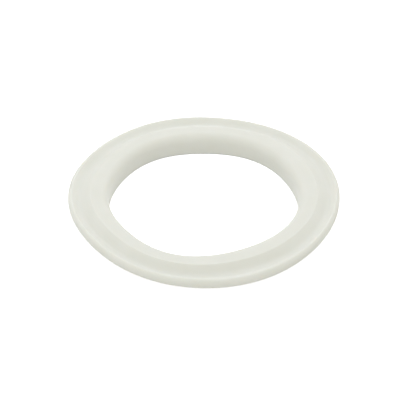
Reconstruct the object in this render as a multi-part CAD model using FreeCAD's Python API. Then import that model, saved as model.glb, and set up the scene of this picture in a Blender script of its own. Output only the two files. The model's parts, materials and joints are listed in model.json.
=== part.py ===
import FreeCAD, Part
import math
import os

# Shaft seal: one ring moulded in soft off-white silicone rubber.
# A low rounded collar grips the shaft. Its outer wall slopes down to a soft crease, past which a
# thick, slightly dished lip reaches out to a full round rim. The underside tapers in to the flat base.
# The ring lies on its base, with the bore's axis along +Z and the origin at the base's centre.

# Driving dimensions in millimetres
bore_diameter = 45.0          # size of the shaft that the bore takes
collar_wall = 6.3             # bore wall to the crease round the collar
collar_height = 5.7           # base to the collar's top
collar_slope = 2.2            # how far the collar's outer wall leans in from the crease to its top
lip_reach = 3.7               # crease to the rim
crease_height = 4.05          # base to the crease, where collar and lip meet
lip_crown = 0.15              # how much the lip's top bulges between crease and rim
rim_height = 4.5              # base to the rim's top
rim_thickness = 1.7           # upright land round the rim
base_setback = 3.2            # how far the base's outer corner lies inside the rim

# Roundings of the mould, in millimetres
bore_mouth_rounding = 2.45    # collar's top into the bore
collar_edge_rounding = 1.7    # collar's top into its outer wall
crease_rounding = 1.0         # hollow of the crease
crown_rounding = 4.0          # bulge of the lip's top
rim_top_rounding = 1.05       # lip's top into the rim
rim_underside_rounding = 1.2  # rim into the tapered underside

# Sizes that follow from the driving ones
bore_radius = bore_diameter / 2
crease_radius = bore_radius + collar_wall
rim_radius = crease_radius + lip_reach
base_radius = rim_radius - base_setback
rim_underside = rim_height - rim_thickness
crown_radius = (crease_radius + rim_radius) / 2
crown_height = (crease_height + rim_height) / 2 + lip_crown

SHARP = 0                     # a corner left without a rounding
STRAIGHT_LEFT = 0.02          # least share of an edge left straight between two roundings
NODE_NAME = "seal_ring"


def section_point(radius, height):
    """A point of the section, which lies in the plane through the bore's axis and +X."""
    return FreeCAD.Vector(radius, 0, height)


def half_angle(before, corner, after):
    """Half the angle at a corner, between the edges to its neighbours."""
    return (before - corner).getAngle(after - corner) / 2


def neighbours(corners, index):
    """The points before and after one corner of the closed outline."""
    return corners[index - 1][0], corners[(index + 1) % len(corners)][0]


def setbacks(corners):
    """How far each rounding reaches along its edges; two that would overlap share the edge."""
    wanted = []
    for index, (corner, rounding) in enumerate(corners):
        before, after = neighbours(corners, index)
        wanted.append(rounding / math.tan(half_angle(before, corner, after)))
    shares = [1.0] * len(corners)
    for index, (corner, _) in enumerate(corners):
        room = (corner - corners[index - 1][0]).Length * (1 - STRAIGHT_LEFT)
        taken = wanted[index] + wanted[index - 1]
        if taken > room:
            shares[index] = min(shares[index], room / taken)
            shares[index - 1] = min(shares[index - 1], room / taken)
    return [reach * share for reach, share in zip(wanted, shares)]


def tangent_arc(before, corner, after, setback):
    """The arc that rounds a corner off, touching both its edges at the setback."""
    to_before = (before - corner).normalize()
    to_after = (after - corner).normalize()
    bisector = (to_before + to_after).normalize()
    half = half_angle(before, corner, after)
    radius = setback * math.tan(half)
    start = corner + to_before * setback
    middle = corner + bisector * (radius / math.sin(half) - radius)
    end = corner + to_after * setback
    return Part.Arc(start, middle, end)


def rounded_outline(corners):
    """A closed wire through (point, rounding) pairs: tangent arcs joined by straight edges."""
    reaches = setbacks(corners)
    starts = []
    ends = []
    edges = []
    for index, (corner, rounding) in enumerate(corners):
        if rounding == SHARP:
            starts.append(corner)
            ends.append(corner)
            continue
        before, after = neighbours(corners, index)
        arc = tangent_arc(before, corner, after, reaches[index])
        starts.append(arc.StartPoint)
        ends.append(arc.EndPoint)
        edges.append(arc.toShape())
    for index, start in enumerate(starts):
        edges.append(Part.LineSegment(ends[index - 1], start).toShape())
    return Part.Wire(Part.sortEdges(edges)[0])


def seal_section():
    """The ring's section: flat base, tapered underside, round rim, lip, collar and bore wall."""
    corners = [
        (section_point(bore_radius, 0), SHARP),
        (section_point(base_radius, 0), SHARP),
        (section_point(rim_radius, rim_underside), rim_underside_rounding),
        (section_point(rim_radius, rim_height), rim_top_rounding),
        (section_point(crown_radius, crown_height), crown_rounding),
        (section_point(crease_radius, crease_height), crease_rounding),
        (section_point(crease_radius - collar_slope, collar_height), collar_edge_rounding),
        (section_point(bore_radius, collar_height), bore_mouth_rounding),
    ]
    return Part.Face(rounded_outline(corners))


def seal_ring():
    """The whole seal: its section turned once round the bore's axis."""
    origin = FreeCAD.Vector(0, 0, 0)
    bore_axis = FreeCAD.Vector(0, 0, 1)
    full_turn = 360
    return seal_section().revolve(origin, bore_axis, full_turn)


os.makedirs("parts", exist_ok=True)
seal_ring().exportStep(f"parts/{NODE_NAME}.step")
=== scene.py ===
import json
import math

import bpy
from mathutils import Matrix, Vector


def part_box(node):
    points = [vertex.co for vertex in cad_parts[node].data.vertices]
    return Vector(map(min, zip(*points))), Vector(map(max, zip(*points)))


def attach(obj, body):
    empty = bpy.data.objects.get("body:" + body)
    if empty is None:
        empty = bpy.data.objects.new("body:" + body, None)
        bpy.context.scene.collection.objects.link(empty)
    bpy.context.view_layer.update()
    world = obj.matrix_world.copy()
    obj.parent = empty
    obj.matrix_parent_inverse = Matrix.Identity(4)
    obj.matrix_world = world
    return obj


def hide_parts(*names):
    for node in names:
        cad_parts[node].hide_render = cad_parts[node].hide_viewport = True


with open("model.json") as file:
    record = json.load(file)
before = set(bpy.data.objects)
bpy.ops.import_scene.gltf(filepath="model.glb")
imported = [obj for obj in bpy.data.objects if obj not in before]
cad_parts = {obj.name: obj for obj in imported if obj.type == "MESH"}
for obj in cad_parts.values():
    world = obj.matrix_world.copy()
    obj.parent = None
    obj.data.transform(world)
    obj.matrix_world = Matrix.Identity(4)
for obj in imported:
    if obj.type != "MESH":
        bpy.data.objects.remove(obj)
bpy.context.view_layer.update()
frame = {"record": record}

# A shaft seal: one ring moulded in soft off-white silicone rubber, lying on its base.
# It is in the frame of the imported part, with +Z up and its base at height zero. Lengths are in metres,
# apart from those whose names or comments say millimetres or pixels.
MILLIMETRE = 0.001
NODE = "seal_ring"
NODE_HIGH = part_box(NODE)[1]
RIM_RADIUS = NODE_HIGH.x
RING_HEIGHT = NODE_HIGH.z
BORE_MOUNT = next(mount for mount in frame["record"]["mounts"] if mount["name"] == "shaft_bore")
BORE_RADIUS = BORE_MOUNT["dims"]["r_mm"] * MILLIMETRE

# The moulded section: a collar round the bore, a shallow hollow, and a lip with a round rim
COLLAR_TOP = RING_HEIGHT - 0.49 * MILLIMETRE
MOUTH_TOP = COLLAR_TOP - 0.03 * MILLIMETRE         # the collar's top at the bore
COLLAR_EDGE = BORE_RADIUS + 4.6 * MILLIMETRE
HOLLOW_RADIUS = BORE_RADIUS + 7.09 * MILLIMETRE
HOLLOW_HEIGHT = COLLAR_TOP - 1.7 * MILLIMETRE
LIP_RADIUS = RIM_RADIUS - 1.0 * MILLIMETRE         # the lip's crest
LIP_TOP = COLLAR_TOP - 0.7 * MILLIMETRE
RIM_TOP = COLLAR_TOP - 1.1 * MILLIMETRE
RIM_UNDERSIDE = RIM_TOP - 1.5 * MILLIMETRE
BASE_SETBACK = 4.2 * MILLIMETRE                    # from the rim in to the base's outer corner

# Roundings of the section's corners
SHARP = 0
LEAST_ROUNDING = 0.12 * MILLIMETRE                 # where the collar's edge is at its crispest
MOUTH_ROUNDING = 2.05 * MILLIMETRE
COLLAR_EDGE_ROUNDING = 0.58 * MILLIMETRE
HOLLOW_ROUNDING = 1.7 * MILLIMETRE
LIP_ROUNDING = 0.6 * MILLIMETRE
RIM_TOP_ROUNDING = 1.75 * MILLIMETRE
RIM_UNDERSIDE_ROUNDING = 0.55 * MILLIMETRE

# The soft moulding isn't the same all round. Each row says how many millimetres a size grows at the back,
# at both sides, and at the right. It shrinks by as much in front, at front and back, and at the left.
COLLAR_TOP_DRIFT = (-0.04, -0.02, 0)
MOUTH_TOP_DRIFT = (0.07, 0.03, 0)
COLLAR_EDGE_DRIFT = (0, 0.05, 0)
COLLAR_EDGE_ROUNDING_DRIFT = (0.95, -0.47, 0)
HOLLOW_RADIUS_DRIFT = (-0.05, 0.3, 0)
HOLLOW_HEIGHT_DRIFT = (0.04, 0.17, -0.05)
LIP_RADIUS_DRIFT = (-0.05, 0.13, 0)
LIP_TOP_DRIFT = (-0.06, -0.02, 0)
RIM_TOP_DRIFT = (0.16, 0.03, 0)

# The ring also lies a little out of round. Each wave says how many of its crests go round, how high they
# are, and where one of them lies, in degrees from +X towards the back.
RIM_WAVES = (
    (2, 0.04 * MILLIMETRE, -57),
    (3, 0.42 * MILLIMETRE, 33.5),
    (4, 0.15 * MILLIMETRE, 9),
    (5, 0.09 * MILLIMETRE, 31.5),
    (6, 0.07 * MILLIMETRE, -5),
)
BORE_WAVES = (
    (1, 0.26 * MILLIMETRE, 176),
    (2, 0.13 * MILLIMETRE, 21),
    (3, 0.21 * MILLIMETRE, 13),
    (4, 0.20 * MILLIMETRE, -20),
    (5, 0.19 * MILLIMETRE, -26),
    (6, 0.10 * MILLIMETRE, 4),
)
BORE_STRETCH = 0.04 * MILLIMETRE                   # how much the bore is widened all round

# How finely the ring's mesh follows its section
STRAIGHT_LEFT = 0.02                               # least share of an edge left between two roundings
STEPS_IN_ARC = 10
STEPS_IN_EDGE = 4
STEPS_AROUND = 360
SHARP_ANGLE_DEG = 40

# The silicone: off-white and satin, with faint clouds and a fine grain
DEEP_TINT = (0.82, 0.828, 0.76, 1)
PALE_TINT = (0.84, 0.846, 0.784, 1)
DEEP_TINT_BELOW = 0.3                              # cloud levels between which the tint changes
PALE_TINT_ABOVE = 0.7
CLOUDS_PER_METRE = 180
CLOUD_DETAIL = 3
LEAST_ROUGHNESS = 0.41
MOST_ROUGHNESS = 0.51
GRAINS_PER_METRE = 2500
GRAIN_DETAIL = 2
GRAIN_STRENGTH = 0.05
GRAIN_DEPTH = 0.02 * MILLIMETRE
SCATTER_SHARE = 0.92                               # how much of the light scatters inside
SCATTER_REACH = 0.65 * MILLIMETRE
SCATTER_BY_COLOUR = (1.0, 0.95, 0.9)
SILICONE_IOR = 1.41
SILICONE_GLOSS = 0.25

# The studio: light from all round that is stronger at the sides, one lamp above and one behind
WHITE = (1, 1, 1, 1)
SKY_COLOUR = (1, 0.985, 0.94, 1)
SKY_LEVEL = 0.518
SKY_TILT = (0.02, -0.02, 0.05)                     # added towards +X, +Y and +Z, and taken away opposite
SKY_SIDES = (0.245, 0.225, 0)                      # added along X, Y and Z, in both directions
LAMP_COLOUR = (0.97, 1, 1.1)
TOP_LAMP_PLACE = (-0.1, 0.075, 0.6)
TOP_LAMP_SIZE = (1.42, 0.65)
TOP_LAMP_POWER = 1.86
BACK_LAMP_PLACE = (0.12, 0.6, 0.33)
BACK_LAMP_SIZE = (0.8, 0.3)
BACK_LAMP_POWER = 0.34
FLOOR_REACH = 3.0
FLOOR_COLOUR = (0.8, 0.8, 0.8, 1)
FLOOR_ROUGHNESS = 0.9
FLOOR_GLOW = 0.75

# The photograph's view, in pixels of its 400 by 400 frame
PHOTO_WIDTH_PX = 400
RIM_RADIUS_PX = 135.2                              # the rim's radius, measured across the picture
AXIS_FOOT_PX = (204.54, 209.58)                    # where the bore's axis meets the base
CAMERA_ELEVATION_DEG = 38.09
CAMERA_DISTANCE = 0.79
SENSOR_WIDTH_MM = 36
CLIP_START = 0.01
CLIP_END = 20


def drift(growths, angle):
    """How far a size has grown at an angle, from its growths at the back, both sides and the right."""
    back, sides, right = growths
    growth = back * math.sin(angle) + sides * math.cos(2 * angle) + right * math.cos(angle)
    return growth * MILLIMETRE


def section_corners(angle):
    """The section's corners at an angle, as (radius, height, rounding), from the bore's foot outwards."""
    rim_top = RIM_TOP + drift(RIM_TOP_DRIFT, angle)
    lip_radius = LIP_RADIUS + drift(LIP_RADIUS_DRIFT, angle)
    lip_top = LIP_TOP + drift(LIP_TOP_DRIFT, angle)
    hollow_radius = HOLLOW_RADIUS + drift(HOLLOW_RADIUS_DRIFT, angle)
    hollow_height = HOLLOW_HEIGHT + drift(HOLLOW_HEIGHT_DRIFT, angle)
    edge_radius = COLLAR_EDGE + drift(COLLAR_EDGE_DRIFT, angle)
    edge_height = COLLAR_TOP + drift(COLLAR_TOP_DRIFT, angle)
    edge_rounding = COLLAR_EDGE_ROUNDING + drift(COLLAR_EDGE_ROUNDING_DRIFT, angle)
    mouth_top = MOUTH_TOP + drift(MOUTH_TOP_DRIFT, angle)
    return [
        (BORE_RADIUS, 0, SHARP),
        (RIM_RADIUS - BASE_SETBACK, 0, SHARP),
        (RIM_RADIUS, RIM_UNDERSIDE, RIM_UNDERSIDE_ROUNDING),
        (RIM_RADIUS, rim_top, RIM_TOP_ROUNDING),
        (lip_radius, lip_top, LIP_ROUNDING),
        (hollow_radius, hollow_height, HOLLOW_ROUNDING),
        (edge_radius, edge_height, max(LEAST_ROUNDING, edge_rounding)),
        (BORE_RADIUS, mouth_top, MOUTH_ROUNDING),
    ]


def half_angle(before, corner, after):
    """Half the angle at a corner, between the edges to its neighbours."""
    return (before - corner).angle(after - corner) / 2


def setbacks(places, roundings):
    """How far each rounding reaches along its edges; two that would overlap share the edge."""
    wanted = []
    for index, corner in enumerate(places):
        after = places[(index + 1) % len(places)]
        wanted.append(roundings[index] / math.tan(half_angle(places[index - 1], corner, after)))
    shares = [1.0] * len(places)
    for index, corner in enumerate(places):
        room = (corner - places[index - 1]).length * (1 - STRAIGHT_LEFT)
        taken = wanted[index] + wanted[index - 1]
        if taken > room:
            shares[index] = min(shares[index], room / taken)
            shares[index - 1] = min(shares[index - 1], room / taken)
    return [reach * share for reach, share in zip(wanted, shares)]


def arc_points(before, corner, after, setback):
    """Points along the arc that rounds a corner off, touching both its edges at the setback."""
    to_before = (before - corner).normalized()
    to_after = (after - corner).normalized()
    half = half_angle(before, corner, after)
    centre = corner + (to_before + to_after).normalized() * (setback / math.cos(half))
    start = corner + to_before * setback - centre
    end = corner + to_after * setback - centre
    start_angle = math.atan2(start.y, start.x)
    sweep = math.atan2(start.cross(end), start.dot(end))
    points = []
    for step in range(STEPS_IN_ARC + 1):
        angle = start_angle + sweep * step / STEPS_IN_ARC
        points.append(centre + Vector((math.cos(angle), math.sin(angle))) * start.length)
    return points


def rounded_outline(corners):
    """The closed outline through the corners, with tangent arcs at them and even steps between."""
    places = [Vector((radius, height)) for radius, height, _ in corners]
    roundings = [rounding for _, _, rounding in corners]
    reaches = setbacks(places, roundings)
    stretches = []
    for index, corner in enumerate(places):
        after = places[(index + 1) % len(places)]
        if roundings[index] == SHARP:
            stretches.append([corner])
        else:
            stretches.append(arc_points(places[index - 1], corner, after, reaches[index]))
    outline = []
    for index, stretch in enumerate(stretches):
        onward = stretches[(index + 1) % len(stretches)][0]
        outline.extend(stretch)
        for step in range(1, STEPS_IN_EDGE):
            outline.append(stretch[-1].lerp(onward, step / STEPS_IN_EDGE))
    return outline


def ripple(waves, angle):
    """How far the waves push out at an angle round the axis."""
    return sum(height * math.cos(count * (angle - math.radians(crest))) for count, height, crest in waves)


def turned_mesh(name):
    """A closed mesh of quads: the section turned once round +Z, changing a little on the way."""
    vertices = []
    for turn in range(STEPS_AROUND):
        angle = 2 * math.pi * turn / STEPS_AROUND
        rim_push = ripple(RIM_WAVES, angle)
        bore_push = ripple(BORE_WAVES, angle) + BORE_STRETCH
        outline = rounded_outline(section_corners(angle))
        for radius, height in outline:
            outward = (radius - BORE_RADIUS) / (RIM_RADIUS - BORE_RADIUS)
            pushed = radius + rim_push * outward + bore_push * (1 - outward)
            vertices.append((pushed * math.cos(angle), pushed * math.sin(angle), height))
    count = len(outline)
    faces = []
    for turn in range(STEPS_AROUND):
        this_row = turn * count
        next_row = (turn + 1) % STEPS_AROUND * count
        for index in range(count):
            onward = (index + 1) % count
            faces.append((this_row + index, next_row + index, next_row + onward, this_row + onward))
    mesh = bpy.data.meshes.new(name)
    mesh.from_pydata(vertices, [], faces)
    mesh.update()
    return mesh


def noise(tree, spots_per_metre, detail):
    """The level of a noise pattern that stays fixed to the ring."""
    place = tree.nodes.new("ShaderNodeTexCoord")
    pattern = tree.nodes.new("ShaderNodeTexNoise")
    pattern.inputs["Scale"].default_value = spots_per_metre
    pattern.inputs["Detail"].default_value = detail
    tree.links.new(place.outputs["Object"], pattern.inputs["Vector"])
    return pattern.outputs["Fac"]


def silicone():
    """Soft off-white silicone rubber: satin, faintly translucent, a little cloudy."""
    material = bpy.data.materials.new("silicone_off_white")
    material.use_nodes = True
    tree = material.node_tree
    shader = tree.nodes["Principled BSDF"]
    shader.inputs["Subsurface Weight"].default_value = SCATTER_SHARE
    shader.inputs["Subsurface Radius"].default_value = SCATTER_BY_COLOUR
    shader.inputs["Subsurface Scale"].default_value = SCATTER_REACH
    shader.inputs["IOR"].default_value = SILICONE_IOR
    shader.inputs["Specular IOR Level"].default_value = SILICONE_GLOSS

    clouds = noise(tree, CLOUDS_PER_METRE, CLOUD_DETAIL)
    tint = tree.nodes.new("ShaderNodeValToRGB")
    deep, pale = tint.color_ramp.elements
    deep.position = DEEP_TINT_BELOW
    deep.color = DEEP_TINT
    pale.position = PALE_TINT_ABOVE
    pale.color = PALE_TINT
    tree.links.new(clouds, tint.inputs["Fac"])
    tree.links.new(tint.outputs["Color"], shader.inputs["Base Color"])

    sheen = tree.nodes.new("ShaderNodeMapRange")
    sheen.inputs["To Min"].default_value = LEAST_ROUGHNESS
    sheen.inputs["To Max"].default_value = MOST_ROUGHNESS
    tree.links.new(clouds, sheen.inputs["Value"])
    tree.links.new(sheen.outputs["Result"], shader.inputs["Roughness"])

    bump = tree.nodes.new("ShaderNodeBump")
    bump.inputs["Strength"].default_value = GRAIN_STRENGTH
    bump.inputs["Distance"].default_value = GRAIN_DEPTH
    tree.links.new(noise(tree, GRAINS_PER_METRE, GRAIN_DETAIL), bump.inputs["Height"])
    tree.links.new(bump.outputs["Normal"], shader.inputs["Normal"])
    return material


def seal():
    """The moulded ring, in the place of its CAD node."""
    mesh = turned_mesh("moulded_seal")
    mesh.shade_smooth()
    mesh.set_sharp_from_angle(angle=math.radians(SHARP_ANGLE_DEG))
    mesh.materials.append(silicone())
    ring = bpy.data.objects.new("moulded_seal", mesh)
    bpy.context.scene.collection.objects.link(ring)
    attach(ring, "root")
    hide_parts(NODE)


def combined(tree, operation, first, second):
    """The output of a Math node, from a node's output and another one or a number."""
    node = tree.nodes.new("ShaderNodeMath")
    node.operation = operation
    tree.links.new(first, node.inputs[0])
    if isinstance(second, bpy.types.NodeSocket):
        tree.links.new(second, node.inputs[1])
    else:
        node.inputs[1].default_value = second
    return node.outputs["Value"]


def seen_as_backdrop(tree):
    """A node output that is 1 for rays from the camera, a gloss or a clear body, and 0 for the rest."""
    rays = tree.nodes.new("ShaderNodeLightPath").outputs
    direct_or_glossy = combined(tree, "MAXIMUM", rays["Is Camera Ray"], rays["Is Glossy Ray"])
    return combined(tree, "MAXIMUM", direct_or_glossy, rays["Is Transmission Ray"])


def floor():
    """A plain pale floor that meets the camera as white and keeps the ring's shadow."""
    mesh = bpy.data.meshes.new("floor")
    reach = FLOOR_REACH
    corners = [(-reach, -reach, 0), (reach, -reach, 0), (reach, reach, 0), (-reach, reach, 0)]
    mesh.from_pydata(corners, [], [(0, 1, 2, 3)])
    plane = bpy.data.objects.new("floor", mesh)
    bpy.context.scene.collection.objects.link(plane)
    material = bpy.data.materials.new("pale_floor")
    material.use_nodes = True
    tree = material.node_tree
    shader = tree.nodes["Principled BSDF"]
    shader.inputs["Base Color"].default_value = FLOOR_COLOUR
    shader.inputs["Roughness"].default_value = FLOOR_ROUGHNESS
    shader.inputs["Specular IOR Level"].default_value = 0
    shader.inputs["Emission Color"].default_value = WHITE
    glow = combined(tree, "MULTIPLY", seen_as_backdrop(tree), FLOOR_GLOW)
    tree.links.new(glow, shader.inputs["Emission Strength"])
    mesh.materials.append(material)


def weighed(tree, vector, weights):
    """The output of a node that weighs a vector's three parts and adds them up."""
    node = tree.nodes.new("ShaderNodeVectorMath")
    node.operation = "DOT_PRODUCT"
    node.inputs[1].default_value = weights
    tree.links.new(vector, node.inputs[0])
    return node.outputs["Value"]


def sky_strength(tree):
    """A node output with the studio's light by direction: its level, a tilt, and brighter sides."""
    direction = tree.nodes.new("ShaderNodeTexCoord").outputs["Generated"]
    squares = tree.nodes.new("ShaderNodeVectorMath")
    squares.operation = "MULTIPLY"
    tree.links.new(direction, squares.inputs[0])
    tree.links.new(direction, squares.inputs[1])
    tilted = combined(tree, "ADD", weighed(tree, direction, SKY_TILT), SKY_LEVEL)
    return combined(tree, "ADD", tilted, weighed(tree, squares.outputs["Vector"], SKY_SIDES))


def softbox(name, place, size, power):
    """A rectangular lamp that faces the ring."""
    lamp = bpy.data.lights.new(name, "AREA")
    lamp.shape = "RECTANGLE"
    lamp.size, lamp.size_y = size
    lamp.energy = power
    lamp.color = LAMP_COLOUR
    holder = bpy.data.objects.new(name, lamp)
    holder.location = place
    towards_ring = Vector((0, 0, RING_HEIGHT / 2)) - Vector(place)
    holder.rotation_mode = "QUATERNION"
    holder.rotation_quaternion = towards_ring.to_track_quat("-Z", "Y")
    bpy.context.scene.collection.objects.link(holder)


def studio():
    """Soft light from all round, lamps above and behind, and a white backdrop for the camera."""
    world = bpy.data.worlds.new("studio")
    bpy.context.scene.world = world
    world.use_nodes = True
    tree = world.node_tree
    tree.nodes.clear()
    output = tree.nodes.new("ShaderNodeOutputWorld")
    light = tree.nodes.new("ShaderNodeBackground")
    light.inputs["Color"].default_value = SKY_COLOUR
    tree.links.new(sky_strength(tree), light.inputs["Strength"])
    white = tree.nodes.new("ShaderNodeBackground")
    white.inputs["Color"].default_value = WHITE
    white.inputs["Strength"].default_value = 1
    mix = tree.nodes.new("ShaderNodeMixShader")
    tree.links.new(seen_as_backdrop(tree), mix.inputs["Fac"])
    tree.links.new(light.outputs["Background"], mix.inputs[1])
    tree.links.new(white.outputs["Background"], mix.inputs[2])
    tree.links.new(mix.outputs["Shader"], output.inputs["Surface"])
    softbox("top_light", TOP_LAMP_PLACE, TOP_LAMP_SIZE, TOP_LAMP_POWER)
    softbox("back_light", BACK_LAMP_PLACE, BACK_LAMP_SIZE, BACK_LAMP_POWER)


def camera():
    """A long lens at the photograph's angle, aimed so that the ring falls where it does there."""
    metres_per_px = RIM_RADIUS / RIM_RADIUS_PX
    elevation = math.radians(CAMERA_ELEVATION_DEG)
    middle = PHOTO_WIDTH_PX / 2
    aside = (middle - AXIS_FOOT_PX[0]) * metres_per_px
    up = (AXIS_FOOT_PX[1] - middle) * metres_per_px / math.cos(elevation)
    target = Vector((aside, 0, up))
    back = Vector((0, -math.cos(elevation), math.sin(elevation)))
    data = bpy.data.cameras.new("camera")
    data.sensor_width = SENSOR_WIDTH_MM
    data.lens = SENSOR_WIDTH_MM * CAMERA_DISTANCE / (PHOTO_WIDTH_PX * metres_per_px)
    data.clip_start = CLIP_START
    data.clip_end = CLIP_END
    holder = bpy.data.objects.new("camera", data)
    holder.location = target + back * CAMERA_DISTANCE
    holder.rotation_mode = "QUATERNION"
    holder.rotation_quaternion = (-back).to_track_quat("-Z", "Y")
    bpy.context.scene.collection.objects.link(holder)
    bpy.context.scene.camera = holder


seal()
floor()
studio()
camera()
bpy.context.scene.view_settings.view_transform = "Standard"
